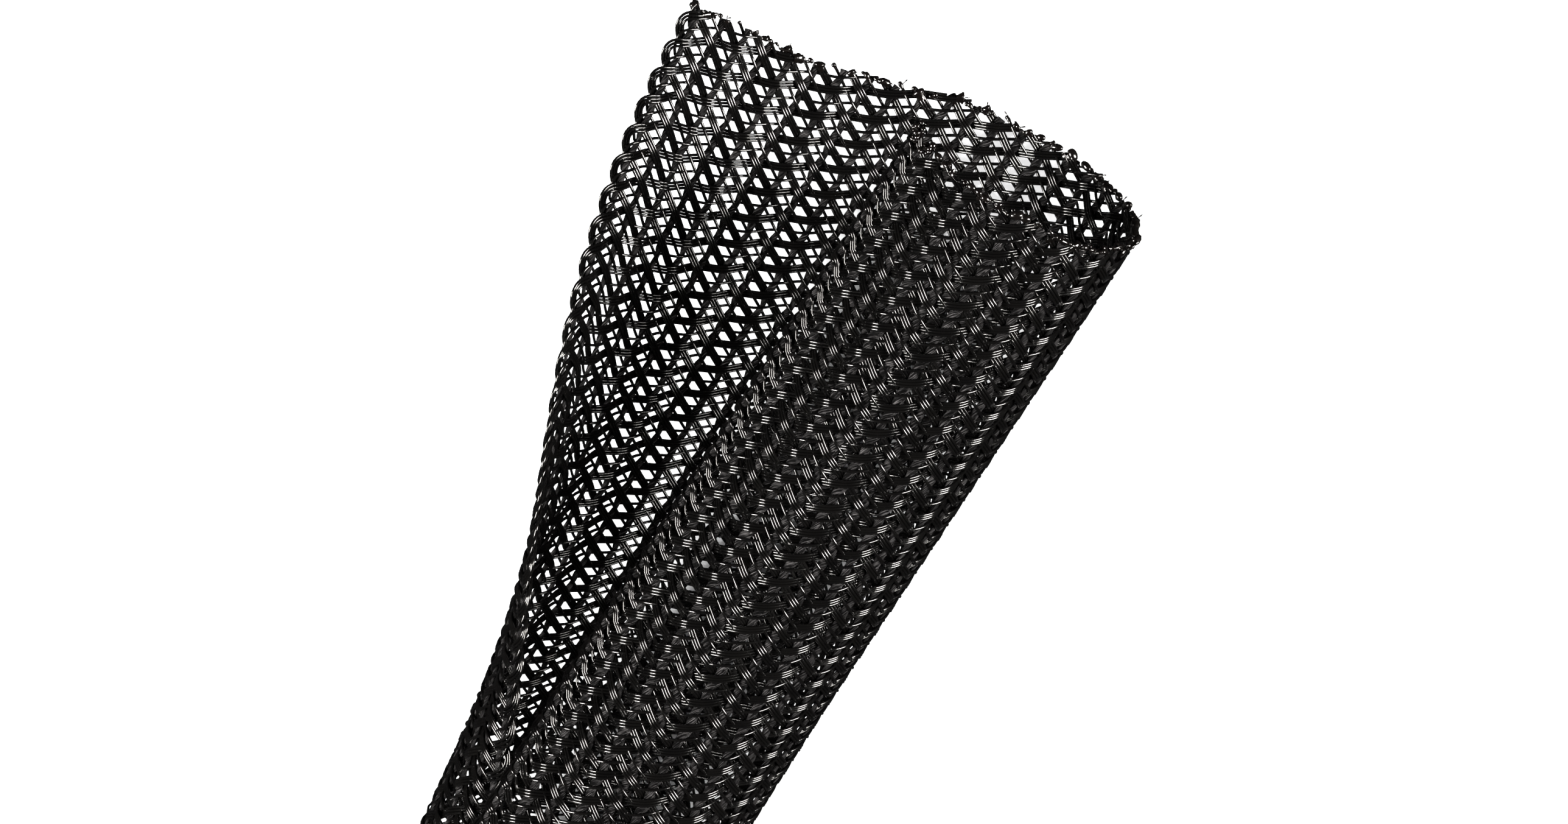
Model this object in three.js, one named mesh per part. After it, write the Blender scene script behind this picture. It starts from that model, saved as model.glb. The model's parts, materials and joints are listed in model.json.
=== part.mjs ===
// Side-split, self-wrapping braided cable sleeve: one web of plastic strands, heat-set into a curl.
// Units are millimetres, +Z is up, +X runs along the sleeve toward its opened mouth,
// and +Y points to the side where the inner flap is pulled out. The sleeve lies on the level z = 0.

import * as THREE from 'three';

// The stock
const LENGTH = 305; // a one foot cut of stock
const WEB_WIDTH = 82.5; // flat width of the web from one looped edge to the other
const WALL = 0.9; // two crossing strand layers with the axial yarn between them

// How the web lies around the tube, measured along its width from the outer edge
const REST_LINE = 49.5; // where the middle of the web's floor contact runs
const REST_STRIP = 2.4; // width of the flat strip that the sleeve lies on
const SPIRAL_RATE = 0.0175; // how much the radius grows for each millimetre toward the outer edge

// The outer layer's radius on the rest line, from the mouth to the closed tube
const MOUTH_RADIUS = 11.8;
const TUCK_RADIUS = 12.3; // where the flap slips under the outer edge and swells the tube
const CLOSED_RADIUS = 11;

// Distances from the mouth where the tube changes
const SWELL_START = 50;
const TUCK_AT = 85;
const SWELL_END = 118;
const CLOSED_FROM = 128;

// The outer edge springs up a little where the flap passes under it
const SPRUNG_WIDTH = 20;
const SPRUNG_SHARE = 0.5; // share of its curvature that the web loses at the very edge

// The flap: the angle that it turns through between the floor and its free edge
const OPEN_FLAP_TURN = THREE.MathUtils.degToRad(30);
const CLOSED_FLAP_TURN = THREE.MathUtils.degToRad(196);
const FLAP_CLOSED_FROM = 115; // distance from the mouth where the flap is fully curled in
const FLAP_OPENING_RATE = 0.5; // how fast it opens right at the mouth, 0 would be level
const FLAP_TIP_CURL = 0.2; // how much more the free edge curls than the middle of the flap
const FLAP_TIP_CURL_FROM = 60;
const BLEND_HALF_WIDTH = 3; // the tube's curvature turns into the flap's over twice this width

// The hot-cut end is square on the tube and set back across the flap
const CUT_SETBACK = 4.7;
const SETBACK_WIDTH = 24; // measured from the rest line
const SETBACK_FADE = 60; // the set-back is gone this far from the mouth

// Fineness of the faceted solid
const NEAR_FACETS = 20;
const FLAP_FACETS = 15;
const SHAPED_STATIONS = 24; // along the shaped length behind the mouth
const SHAPED_LENGTH = 132;
const PLAIN_STATIONS = 2; // along the closed tube
const INTEGRATION_STEP = 0.3;

const clamp01 = (t) => Math.min(Math.max(t, 0), 1);

function smooth(t) {
  const s = clamp01(t);
  return s * s * (3 - 2 * s);
}

// From 0 to 1 with a given slope at the start and none at the end
function easeFrom(t, startSlope) {
  const s = clamp01(t);
  return s * s * (3 - 2 * s) + startSlope * s * (1 - s) * (1 - s);
}

// 1 where the flap slips under the outer edge, 0 at the mouth and in the closed tube
function swelling(fromMouth) {
  const rise = smooth((fromMouth - SWELL_START) / (TUCK_AT - SWELL_START));
  const fall = smooth((fromMouth - TUCK_AT) / (SWELL_END - TUCK_AT));
  return rise * (1 - fall);
}

function tubeCurvature(u, fromMouth) {
  const swell = swelling(fromMouth);
  const closing = smooth((fromMouth - TUCK_AT) / (CLOSED_FROM - TUCK_AT));
  const radius = MOUTH_RADIUS
    + (TUCK_RADIUS - MOUTH_RADIUS) * swell
    + (CLOSED_RADIUS - MOUTH_RADIUS) * closing;
  const sprung = SPRUNG_SHARE * swell * smooth((SPRUNG_WIDTH - u) / SPRUNG_WIDTH);
  return (1 - sprung) / (radius + SPIRAL_RATE * (REST_LINE - u));
}

function flapCurvature(u, fromMouth) {
  const flapWidth = WEB_WIDTH - REST_LINE;
  const share = clamp01((u - REST_LINE) / flapWidth);
  const turn = OPEN_FLAP_TURN
    + (CLOSED_FLAP_TURN - OPEN_FLAP_TURN) * easeFrom(fromMouth / FLAP_CLOSED_FROM, FLAP_OPENING_RATE);
  const closing = smooth((fromMouth - TUCK_AT) / (FLAP_CLOSED_FROM - TUCK_AT));
  const tipCurl = FLAP_TIP_CURL * smooth(fromMouth / FLAP_TIP_CURL_FROM) * (1 - closing);
  return (turn / flapWidth) * (1 + tipCurl * (2 * share - 1));
}

// Curvature of the web across its width, flat where it touches the floor
function curvature(u, fromMouth) {
  if (Math.abs(u - REST_LINE) < REST_STRIP / 2) return 0;
  const intoFlap = smooth((u - REST_LINE + BLEND_HALF_WIDTH) / (2 * BLEND_HALF_WIDTH));
  return tubeCurvature(u, fromMouth) * (1 - intoFlap) + flapCurvature(u, fromMouth) * intoFlap;
}

// Walks from the edge of the floor strip to the given widths and notes place and direction there
function walkSection(widths, fromMouth, side) {
  const points = [];
  let u = REST_LINE + (side * REST_STRIP) / 2;
  let y = (side * REST_STRIP) / 2;
  let z = 0;
  let angle = 0;
  for (const target of widths) {
    const steps = Math.max(1, Math.round(Math.abs(target - u) / INTEGRATION_STEP));
    const step = (target - u) / steps;
    for (let i = 0; i < steps; i++) {
      const halfTurn = (curvature(u + step / 2, fromMouth) * step) / 2;
      angle += halfTurn;
      y += Math.cos(angle) * step;
      z += Math.sin(angle) * step;
      angle += halfTurn;
      u += step;
    }
    points.push({ u: target, y, z, angle });
  }
  return points;
}

function evenSteps(from, to, count) {
  return Array.from({ length: count }, (_, i) => from + ((to - from) * (i + 1)) / count);
}

// The web's middle surface across one station, from the outer edge to the flap's edge
function section(fromMouth) {
  const stripStart = REST_LINE - REST_STRIP / 2;
  const stripEnd = REST_LINE + REST_STRIP / 2;
  const outward = walkSection(evenSteps(stripStart, 0, NEAR_FACETS), fromMouth, -1).reverse();
  const intoFlap = walkSection(evenSteps(stripEnd, WEB_WIDTH, FLAP_FACETS), fromMouth, 1);
  return [
    ...outward,
    { u: stripStart, y: -REST_STRIP / 2, z: 0, angle: 0 },
    { u: stripEnd, y: REST_STRIP / 2, z: 0, angle: 0 },
    ...intoFlap,
  ];
}

function setback(u, fromMouth) {
  const across = smooth((u - REST_LINE) / SETBACK_WIDTH);
  return CUT_SETBACK * across * (1 - smooth(fromMouth / SETBACK_FADE));
}

function stations() {
  const shaped = Array.from(
    { length: SHAPED_STATIONS + 1 },
    (_, i) => (SHAPED_LENGTH * i) / SHAPED_STATIONS,
  );
  return [...shaped, ...evenSteps(SHAPED_LENGTH, LENGTH, PLAIN_STATIONS)];
}

// One row of outer points and one of inner points for each station, mouth first
function wallRows() {
  return stations().map((fromMouth) => {
    const row = section(fromMouth);
    const offsetPoint = ({ u, y, z, angle }, offset) => new THREE.Vector3(
      LENGTH / 2 - fromMouth - setback(u, fromMouth),
      y + Math.sin(angle) * offset,
      z - Math.cos(angle) * offset + WALL / 2,
    );
    return {
      outer: row.map((point) => offsetPoint(point, WALL / 2)),
      inner: row.map((point) => offsetPoint(point, -WALL / 2)),
    };
  });
}

// Closes the two skins into one solid: skins, the two long edges and the two cut ends
function wallGeometry() {
  const rows = wallRows();
  const across = rows[0].outer.length;
  const positions = [];
  for (const { outer, inner } of rows) {
    for (const point of [...outer, ...inner]) positions.push(point.x, point.y, point.z);
  }
  const outerAt = (station, i) => station * 2 * across + i;
  const innerAt = (station, i) => outerAt(station, i) + across;
  const indices = [];
  const quad = (a, b, c, d) => indices.push(a, c, b, a, d, c);
  const lastStation = rows.length - 1;
  const lastAcross = across - 1;
  for (let s = 0; s < lastStation; s++) {
    for (let i = 0; i < lastAcross; i++) {
      quad(outerAt(s, i), outerAt(s, i + 1), outerAt(s + 1, i + 1), outerAt(s + 1, i));
      quad(innerAt(s, i), innerAt(s + 1, i), innerAt(s + 1, i + 1), innerAt(s, i + 1));
    }
    quad(outerAt(s, 0), outerAt(s + 1, 0), innerAt(s + 1, 0), innerAt(s, 0));
    quad(
      outerAt(s, lastAcross), innerAt(s, lastAcross),
      innerAt(s + 1, lastAcross), outerAt(s + 1, lastAcross),
    );
  }
  for (let i = 0; i < lastAcross; i++) {
    quad(outerAt(0, i), innerAt(0, i), innerAt(0, i + 1), outerAt(0, i + 1));
    quad(
      outerAt(lastStation, i), outerAt(lastStation, i + 1),
      innerAt(lastStation, i + 1), innerAt(lastStation, i),
    );
  }
  const geometry = new THREE.BufferGeometry();
  geometry.setAttribute('position', new THREE.Float32BufferAttribute(positions, 3));
  geometry.setIndex(indices);
  return geometry;
}

function sleeveWall() {
  const geometry = wallGeometry();
  geometry.computeBoundingBox();
  const { min, max } = geometry.boundingBox;
  geometry.translate(-(min.x + max.x) / 2, -(min.y + max.y) / 2, -min.z);
  geometry.computeVertexNormals();
  const blackBraid = new THREE.MeshStandardMaterial({
    color: 0x141416, roughness: 0.45, metalness: 0,
  });
  const mesh = new THREE.Mesh(geometry, blackBraid);
  mesh.name = 'sleeve_wall';
  return mesh;
}

const sleeve = new THREE.Group();
sleeve.add(sleeveWall());

export default sleeve;
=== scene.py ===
# %% [markdown]
# # A split braided sleeve, strand by strand
# The object is one foot of black, self-wrapping braided sleeving that lies on a pale floor.
# Its solid wall comes packed, as a plain curled sheet. Here that sheet is replaced by what the real
# wall is: hundreds of thin plastic filaments and dark yarns, all following the same curled surface.
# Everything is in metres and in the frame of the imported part: +X points to the opened mouth.

import json

import bpy
import numpy as np
from mathutils import Matrix, Vector


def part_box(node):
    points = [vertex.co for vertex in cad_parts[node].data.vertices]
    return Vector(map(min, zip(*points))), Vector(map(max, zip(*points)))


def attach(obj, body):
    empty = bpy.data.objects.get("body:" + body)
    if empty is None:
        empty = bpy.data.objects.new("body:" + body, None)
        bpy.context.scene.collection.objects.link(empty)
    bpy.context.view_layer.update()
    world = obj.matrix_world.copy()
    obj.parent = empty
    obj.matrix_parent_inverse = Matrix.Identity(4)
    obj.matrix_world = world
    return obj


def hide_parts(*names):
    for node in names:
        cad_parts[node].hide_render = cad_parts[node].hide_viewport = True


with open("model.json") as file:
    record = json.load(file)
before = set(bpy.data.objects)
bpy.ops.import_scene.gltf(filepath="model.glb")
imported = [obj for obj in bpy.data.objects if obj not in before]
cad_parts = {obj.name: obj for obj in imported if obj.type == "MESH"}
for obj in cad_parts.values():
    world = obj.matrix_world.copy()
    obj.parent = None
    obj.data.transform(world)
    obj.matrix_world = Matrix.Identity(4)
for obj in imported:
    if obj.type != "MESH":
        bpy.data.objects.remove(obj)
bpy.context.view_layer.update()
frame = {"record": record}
MM = 0.001
wall_low, wall_high = (np.array(corner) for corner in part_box("sleeve_wall"))
SLEEVE_LENGTH = float(wall_high[0] - wall_low[0])
REST_LINE_Y = frame["record"]["mounts"][0]["pos_m"][1]
print(f"the sleeve is {SLEEVE_LENGTH / MM:.0f} mm long and lies on the line y = {REST_LINE_Y / MM:.1f} mm")

# %% [markdown]
# ## The camera
# The photograph looks down on the sleeve, a little from the side of its open mouth, so that the eye
# sees into the tube. A camera can be aimed with angles, but three directions are easier to read:
# where it looks, which way is right and which way is up. The sleeve runs up to the right in the
# picture, so the camera is rolled by that angle about the line of sight. The lens is long, which
# keeps the two sides of the tube almost parallel.

# %% Camera
CAMERA_TILT = np.radians(21.0)  # from straight down, toward the mouth
CAMERA_LEAN = np.radians(1.5)  # and a touch toward the closed side
AXIS_IN_PICTURE = np.radians(57.4)
FIELD_WIDTH = 146.4 * MM
LENS = 100.0
SENSOR = 36.0
AIM = np.array([120.6 * MM, REST_LINE_Y + 5.0 * MM, 12.5 * MM])


def unit(v):
    return v / np.linalg.norm(v)


looking = unit(np.array([-np.tan(CAMERA_TILT), np.sin(CAMERA_LEAN), -np.cos(CAMERA_LEAN)]))
along_sleeve = unit(np.array([1.0, 0.0, 0.0]) - looking * looking[0])
across_sleeve = np.cross(looking, along_sleeve)
across_sleeve = across_sleeve if across_sleeve[1] > 0 else -across_sleeve
right = np.cos(AXIS_IN_PICTURE) * along_sleeve - np.sin(AXIS_IN_PICTURE) * across_sleeve
up = np.sin(AXIS_IN_PICTURE) * along_sleeve + np.cos(AXIS_IN_PICTURE) * across_sleeve

camera_data = bpy.data.cameras.new("camera")
camera_data.lens = LENS
camera_data.sensor_width = SENSOR
camera = bpy.data.objects.new("camera", camera_data)
bpy.context.collection.objects.link(camera)
distance = FIELD_WIDTH * LENS / SENSOR
camera.matrix_world = Matrix.Translation(Vector(AIM - looking * distance)) @ Matrix(
    np.column_stack([right, up, -looking]).tolist()
).to_4x4()
bpy.context.scene.camera = camera
print(f"the camera is {distance:.3f} m from its aim and sees {FIELD_WIDTH / MM:.0f} mm across")

# %% [markdown]
# ## Floor and light
# In the photograph the background and the holes of the open flap are pure white, while the inside
# of the tube is black. The floor is therefore a light table, whose finish comes last, and low lamps
# help it: one from the flap's side, whose light slips under the open flap, and two from the ends,
# whose light runs beside the tube but not under it. They light the floor alone.
#
# A filament is a mirror bent round a thin cylinder: it shows a bright line only where it faces a
# lamp. Two soft lamps to the left and right of the photographer draw the fine lines, and they reach
# from low to high, so that a strand stays bright for a while as it arches over a yarn. The floor is
# kept out of the mirror images, because in the photograph the strands' flanks are black.

# %% Floor and lamps
FLOOR_HALF = 3.0
WARM = (1.0, 0.965, 0.91)
NEUTRAL = (1.0, 1.0, 1.0)
LAMP_DISTANCE = 0.9
FLOOR_LAMP_DISTANCE = 1.0
FLOOR_LAMP_SIZE = (0.8, 0.15)
FLOOR_LAMP_POWER = 60
STUDIO_GLOW = 0.02
sideways = np.array([right[0], right[1], 0.0])
above = np.array([0.0, 0.0, 1.0])
for_sleeve = bpy.data.collections.new("lit_by_soft_lamps")
for_floor = bpy.data.collections.new("lit_by_floor_lamps")


def make_floor():
    mesh = bpy.data.meshes.new("floor")
    corners = [(-1, -1), (1, -1), (1, 1), (-1, 1)]
    mesh.from_pydata([(x * FLOOR_HALF, y * FLOOR_HALF, 0) for x, y in corners], [], [(0, 1, 2, 3)])
    floor = bpy.data.objects.new("floor", mesh)
    bpy.context.collection.objects.link(floor)
    for_floor.objects.link(floor)
    floor.visible_glossy = False
    return floor


def soft_lamp(name, toward, away, size, power, lights, colour=WARM):
    """A rectangular lamp that shines at the sleeve's opened part from the direction toward."""
    data = bpy.data.lights.new(name, "AREA")
    data.shape = "RECTANGLE"
    data.size, data.size_y = size
    data.energy = power
    data.color = colour
    lamp = bpy.data.objects.new(name, data)
    direction = unit(np.array(toward))
    first_side = unit(np.cross(direction, sideways))
    second_side = np.cross(direction, first_side)
    lamp.matrix_world = Matrix.Translation(Vector(AIM + direction * away)) @ Matrix(
        np.column_stack([first_side, second_side, direction]).tolist()
    ).to_4x4()
    lamp.light_linking.receiver_collection = lights
    bpy.context.collection.objects.link(lamp)
    return lamp


floor = make_floor()
from_left = -0.75 * sideways + 0.8 * above
from_right = 0.88 * sideways + 0.4 * above
soft_lamp("lamp_left", from_left, LAMP_DISTANCE, (0.4, 0.3), 42, for_sleeve)
soft_lamp("lamp_right", from_right, LAMP_DISTANCE, (0.22, 0.4), 40, for_sleeve)
for name, toward in (
    ("floor_lamp_flap_side", (0.0, 1.0, 0.25)),
    ("floor_lamp_mouth", (1.0, -0.12, 0.2)),
    ("floor_lamp_far_end", (-1.0, -0.12, 0.2)),
):
    soft_lamp(name, toward, FLOOR_LAMP_DISTANCE, FLOOR_LAMP_SIZE, FLOOR_LAMP_POWER, for_floor, NEUTRAL)

world = bpy.data.worlds.new("studio")
world.use_nodes = True
world.node_tree.nodes["Background"].inputs["Color"].default_value = (1, 1, 1, 1)
world.node_tree.nodes["Background"].inputs["Strength"].default_value = STUDIO_GLOW
bpy.context.scene.world = world
bpy.context.scene.view_settings.view_transform = "Standard"

# %% [markdown]
# ## The curled web
# The braid is a flat web, 82.5 mm wide, that was heat-set into a curl. A strand can follow it if
# every place on the web is known by two numbers: u, the distance across the web from its outer
# edge, and x, the place along the sleeve. A modelled sheet with a curve deform would do, but a
# formula gives every strand its exact place and its outward direction. The web's curvature is
# given for each u and x and summed up twice, first into direction and then into place. The sizes
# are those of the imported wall, in the order in which its curl is worked out: the floor strip, the
# tube's radii, where they change, the edge that springs up, the flap's turn and the cut.

# %% The web's sizes
WEB_WIDTH = 82.5 * MM
WALL = 0.9 * MM
REST_LINE = 49.5 * MM
REST_STRIP = 2.4 * MM
SPIRAL_RATE = 0.0175
MOUTH_RADIUS = 11.8 * MM
TUCK_RADIUS = 12.3 * MM
CLOSED_RADIUS = 11.0 * MM
SWELL_START = 50 * MM
TUCK_AT = 85 * MM
SWELL_END = 118 * MM
CLOSED_FROM = 128 * MM
SPRUNG_WIDTH = 20 * MM
SPRUNG_SHARE = 0.5
OPEN_FLAP_TURN = np.radians(30)
CLOSED_FLAP_TURN = np.radians(196)
FLAP_CLOSED_FROM = 115 * MM
FLAP_OPENING_RATE = 0.5
FLAP_TIP_CURL = 0.2
FLAP_TIP_CURL_FROM = 60 * MM
BLEND_HALF_WIDTH = 3 * MM
CUT_SETBACK = 4.7 * MM
SETBACK_WIDTH = 24 * MM
SETBACK_FADE = 60 * MM
FLAP_WIDTH = WEB_WIDTH - REST_LINE
print(f"the flat web is {WEB_WIDTH / MM:.1f} mm wide, of which the flap takes {FLAP_WIDTH / MM:.1f} mm")

# %% [markdown]
# Every change along or across the web is eased, so that nothing has a kink: smooth() goes from 0 to
# 1 and is level at both ends, and ease_from() starts with a slope. The curvature then follows from
# the tube's radius on one side of the rest line and from the flap's turn on the other.

# %% The web's curvature


def smooth(t):
    s = np.clip(t, 0, 1)
    return s * s * (3 - 2 * s)


def ease_from(t, start_slope):
    """From 0 to 1 with a given slope at the start and none at the end."""
    s = np.clip(t, 0, 1)
    return s * s * (3 - 2 * s) + start_slope * s * (1 - s) ** 2


def web_curvature(u, from_mouth):
    """Curvature across the web, in 1/m, for a width u and a distance from the mouth."""
    swell = smooth((from_mouth - SWELL_START) / (TUCK_AT - SWELL_START))
    swell = swell * (1 - smooth((from_mouth - TUCK_AT) / (SWELL_END - TUCK_AT)))
    closing = smooth((from_mouth - TUCK_AT) / (CLOSED_FROM - TUCK_AT))
    radius = MOUTH_RADIUS + (TUCK_RADIUS - MOUTH_RADIUS) * swell + (CLOSED_RADIUS - MOUTH_RADIUS) * closing
    sprung = SPRUNG_SHARE * swell * smooth((SPRUNG_WIDTH - u) / SPRUNG_WIDTH)
    tube = (1 - sprung) / (radius + SPIRAL_RATE * (REST_LINE - u))
    share = np.clip((u - REST_LINE) / FLAP_WIDTH, 0, 1)
    opening = ease_from(from_mouth / FLAP_CLOSED_FROM, FLAP_OPENING_RATE)
    turn = OPEN_FLAP_TURN + (CLOSED_FLAP_TURN - OPEN_FLAP_TURN) * opening
    flap_closing = smooth((from_mouth - TUCK_AT) / (FLAP_CLOSED_FROM - TUCK_AT))
    tip_curl = FLAP_TIP_CURL * smooth(from_mouth / FLAP_TIP_CURL_FROM) * (1 - flap_closing)
    flap = (turn / FLAP_WIDTH) * (1 + tip_curl * (2 * share - 1))
    into_flap = smooth((u - REST_LINE + BLEND_HALF_WIDTH) / (2 * BLEND_HALF_WIDTH))
    bent = tube * (1 - into_flap) + flap * into_flap
    return np.where(np.abs(u - REST_LINE) < REST_STRIP / 2, 0, bent)


print(f"at the mouth the tube's radius is {1 / web_curvature(REST_LINE / 2, 0.0) / MM:.1f} mm")

# %% [markdown]
# Summing the curvature for every strand point would be slow, so it is summed once on a fine grid,
# and places in between are read off the grid. The grid runs a little past both edges of the web,
# because the strands loop around there.

# %% Sum the curvature into a grid of places
GRID_STEP = 0.25 * MM
EDGE_MARGIN = 3 * MM
STATION_STEP = 1.0 * MM

steps_out = int(round((REST_LINE + EDGE_MARGIN) / GRID_STEP))
steps_in = int(round((FLAP_WIDTH + EDGE_MARGIN) / GRID_STEP))
grid_u = REST_LINE + GRID_STEP * np.arange(-steps_out, steps_in + 1)
grid_from_mouth = STATION_STEP * np.arange(int(CLOSED_FROM / STATION_STEP) + 2)


def sum_from_rest_line(step_values):
    """Running sums across the web that are zero on the rest line."""
    sums = np.cumsum(step_values, axis=1)
    sums = np.hstack([np.zeros((len(sums), 1)), sums])
    return sums - sums[:, steps_out : steps_out + 1]


middle_u = (grid_u[1:] + grid_u[:-1]) / 2
bend = web_curvature(middle_u[None, :], grid_from_mouth[:, None]) * GRID_STEP
grid_angle = sum_from_rest_line(bend)
middle_angle = (grid_angle[:, 1:] + grid_angle[:, :-1]) / 2
grid_y = sum_from_rest_line(np.cos(middle_angle) * GRID_STEP) + REST_LINE_Y
grid_z = sum_from_rest_line(np.sin(middle_angle) * GRID_STEP) + WALL / 2
print(f"grid of {grid_y.size} places, flap edge {grid_y[0].max() / MM:.1f} mm out at the mouth")

# %% [markdown]
# The cut end isn't quite square: it is set back across the flap, and the flap's rows of strands
# have also slid forward toward the mouth where the flap was pulled open, as a braid does. Both are
# small smooth shifts along the sleeve.

# %% Place a strand point on the web
ROW_SLIP = 5 * MM
ROW_SLIP_POWER = 3.2
ROW_SLIP_GAIN = 0.3  # the rows have slid a little further where the flap is widest
ROW_SLIP_GAIN_AT = 45 * MM
ROW_SLIP_FADE_FROM = 50 * MM
ROW_SLIP_FADE_TO = 130 * MM
SLIP_EASES_FROM = 0.85  # share of the flap's width
SLIP_EASING = 2.2
SETBACK_ROUNDS = 3  # the distance from the mouth depends on itself and settles in this many rounds


def setback(u, from_mouth):
    """How far the cut, and the rows behind it, are set back from the mouth's outermost line."""
    return CUT_SETBACK * smooth((u - REST_LINE) / SETBACK_WIDTH) * (1 - smooth(from_mouth / SETBACK_FADE))


def row_slip(u, x):
    """How far the rows have slid toward the mouth."""
    share = np.clip((u - REST_LINE) / FLAP_WIDTH, 0, None)
    share = share - SLIP_EASING * np.clip(share - SLIP_EASES_FROM, 0, None) ** 2
    behind = SLEEVE_LENGTH / 2 - x
    gained = 1 + ROW_SLIP_GAIN * smooth(behind / ROW_SLIP_GAIN_AT)
    fade = 1 - smooth((behind - ROW_SLIP_FADE_FROM) / (ROW_SLIP_FADE_TO - ROW_SLIP_FADE_FROM))
    return ROW_SLIP * share**ROW_SLIP_POWER * gained * fade


def distance_from_mouth(u, x):
    from_mouth = SLEEVE_LENGTH / 2 - x
    for _ in range(SETBACK_ROUNDS):
        from_mouth = SLEEVE_LENGTH / 2 - x - setback(u, from_mouth)
    return from_mouth


def read_grid(grid, u, from_mouth):
    """The grid's value between its four nearest places."""
    column = np.clip((u - grid_u[0]) / GRID_STEP, 0, len(grid_u) - 1.001)
    row = np.clip(from_mouth / STATION_STEP, 0, len(grid_from_mouth) - 1.001)
    c, r = column.astype(int), row.astype(int)
    fc, fr = column - c, row - r
    near = grid[r, c] * (1 - fc) + grid[r, c + 1] * fc
    far = grid[r + 1, c] * (1 - fc) + grid[r + 1, c + 1] * fc
    return near * (1 - fr) + far * fr


def place_on_web(u, x, lift):
    """Places and outward directions for widths u, places x and heights above the web's middle."""
    from_mouth = distance_from_mouth(u, x)
    angle = read_grid(grid_angle, u, from_mouth)
    outward = np.stack([np.zeros_like(angle), np.sin(angle), -np.cos(angle)], axis=-1)
    middle = np.stack([x, read_grid(grid_y, u, from_mouth), read_grid(grid_z, u, from_mouth)], axis=-1)
    return middle + outward * lift[:, None], outward


cut_at_flap = SLEEVE_LENGTH / 2 - CUT_SETBACK
flap_corner, _ = place_on_web(np.array([WEB_WIDTH]), np.array([cut_at_flap]), np.zeros(1))
print("the flap's corner is at", (flap_corner[0] / MM).round(1), "mm")

# %% [markdown]
# ## One mesh from many tubes
# A filament could be a curve with a round bevel, and a few of them would be. For thousands of
# strands it is quicker to lay the rings of all tubes into arrays and make one mesh of them. Each
# ring is turned by the web's outward direction, so that a tube never twists and a flat yarn lies
# flat on the web.

# %% Gather tubes into meshes


class TubeMesh:
    """Collects tubes with the same number of sides and makes one object of them."""

    def __init__(self, sides):
        self.sides = sides
        facet_up = np.pi * (0.5 - 1 / sides)  # a facet, not a corner, faces outward
        turn = facet_up + 2 * np.pi * np.arange(sides) / sides
        self.cosines, self.sines = np.cos(turn), np.sin(turn)
        self.rings, self.quads, self.uvs, self.count = [], [], [], 0

    def add(self, points, outward, half_width, half_height=None):
        """A tube along points. Its height is measured outward, and is its width if none is given."""
        half_height = half_width if half_height is None else half_height
        half_width = np.broadcast_to(half_width, len(points))
        half_height = np.broadcast_to(half_height, len(points))
        tangent = np.gradient(points, axis=0)
        tangent /= np.linalg.norm(tangent, axis=1, keepdims=True)
        side = np.cross(tangent, outward)
        side /= np.linalg.norm(side, axis=1, keepdims=True)
        upward = np.cross(side, tangent)
        ring = points[:, None, :] + (
            side[:, None, :] * (half_width[:, None] * self.cosines)[..., None]
            + upward[:, None, :] * (half_height[:, None] * self.sines)[..., None]
        )
        ring_starts = self.count + self.sides * np.arange(len(points) - 1)[:, None]
        first = ring_starts + np.arange(self.sides)
        following = ring_starts + (np.arange(self.sides) + 1) % self.sides
        quads = np.stack([first, first + self.sides, following + self.sides, following], axis=-1)
        along = np.concatenate([[0], np.cumsum(np.linalg.norm(np.diff(points, axis=0), axis=1))])
        a0, a1 = along[:-1, None] + 0 * self.cosines, along[1:, None] + 0 * self.cosines
        r0 = np.broadcast_to(np.arange(self.sides) / self.sides, a0.shape)
        r1 = r0 + 1 / self.sides
        self.uvs.append(np.stack([a0, r0, a1, r0, a1, r1, a0, r1], axis=-1).reshape(-1))
        self.rings.append(ring.reshape(-1, 3))
        self.quads.append(quads.reshape(-1, 4))
        self.count += ring.shape[0] * self.sides

    def make(self, name):
        points = np.concatenate(self.rings)
        points[:, 2] = np.maximum(points[:, 2], 0)  # the undermost strands are pressed flat
        quads = np.concatenate(self.quads)
        return mesh_object(name, points, quads, np.concatenate(self.uvs))


def mesh_object(name, points, quads, uvs):
    mesh = bpy.data.meshes.new(name)
    mesh.vertices.add(len(points))
    mesh.vertices.foreach_set("co", points.astype(np.float32).ravel())
    mesh.loops.add(quads.size)
    mesh.loops.foreach_set("vertex_index", quads.astype(np.int32).ravel())
    mesh.polygons.add(len(quads))
    mesh.polygons.foreach_set("loop_start", 4 * np.arange(len(quads), dtype=np.int32))
    mesh.polygons.foreach_set("use_smooth", np.ones(len(quads), dtype=bool))
    layer = mesh.uv_layers.new(name="strand_map")
    layer.data.foreach_set("uv", uvs.astype(np.float32))
    mesh.update(calc_edges=True)
    mesh.validate()
    piece = bpy.data.objects.new(name, mesh)
    bpy.context.collection.objects.link(piece)
    for_sleeve.objects.link(piece)
    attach(piece, "root")
    print(f"{name}: {2 * len(quads)} triangles")
    return piece


print(f"a six-sided tube is {np.cos(np.pi / 6):.0%} as thick across its sides as across its corners")

# %% [markdown]
# ## The weave
# Two families of strands cross the web at thirty degrees, one rising toward the mouth and one
# falling. In each family a bundle of three filaments alternates with a single one. On the axial
# yarns bundles cross bundles and singles cross singles: one family passes over the yarn and the
# other under it, and at the next yarn they have changed sides. So the height of a strand is a wave
# across the web, the same for all strands of a family and opposite for the other family.
#
# Midway between two yarns both waves are at zero, and there a single filament runs straight through
# a bundle of the other family. A real one goes over or under it, so this is a simplification.

# %% Weave sizes
YARN_PITCH = 2.5 * MM
BRAID_ANGLE = np.radians(30)
RISE = np.tan(BRAID_ANGLE)
STRAND_PITCH = RISE * YARN_PITCH  # a bundle and a single filament take turns at this spacing
WAVE_HEIGHT = 0.31 * MM
FILAMENT_RADIUS = 0.151 * MM  # to the corners of a six-sided tube
FILAMENT_PITCH = 0.27 * MM


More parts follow.
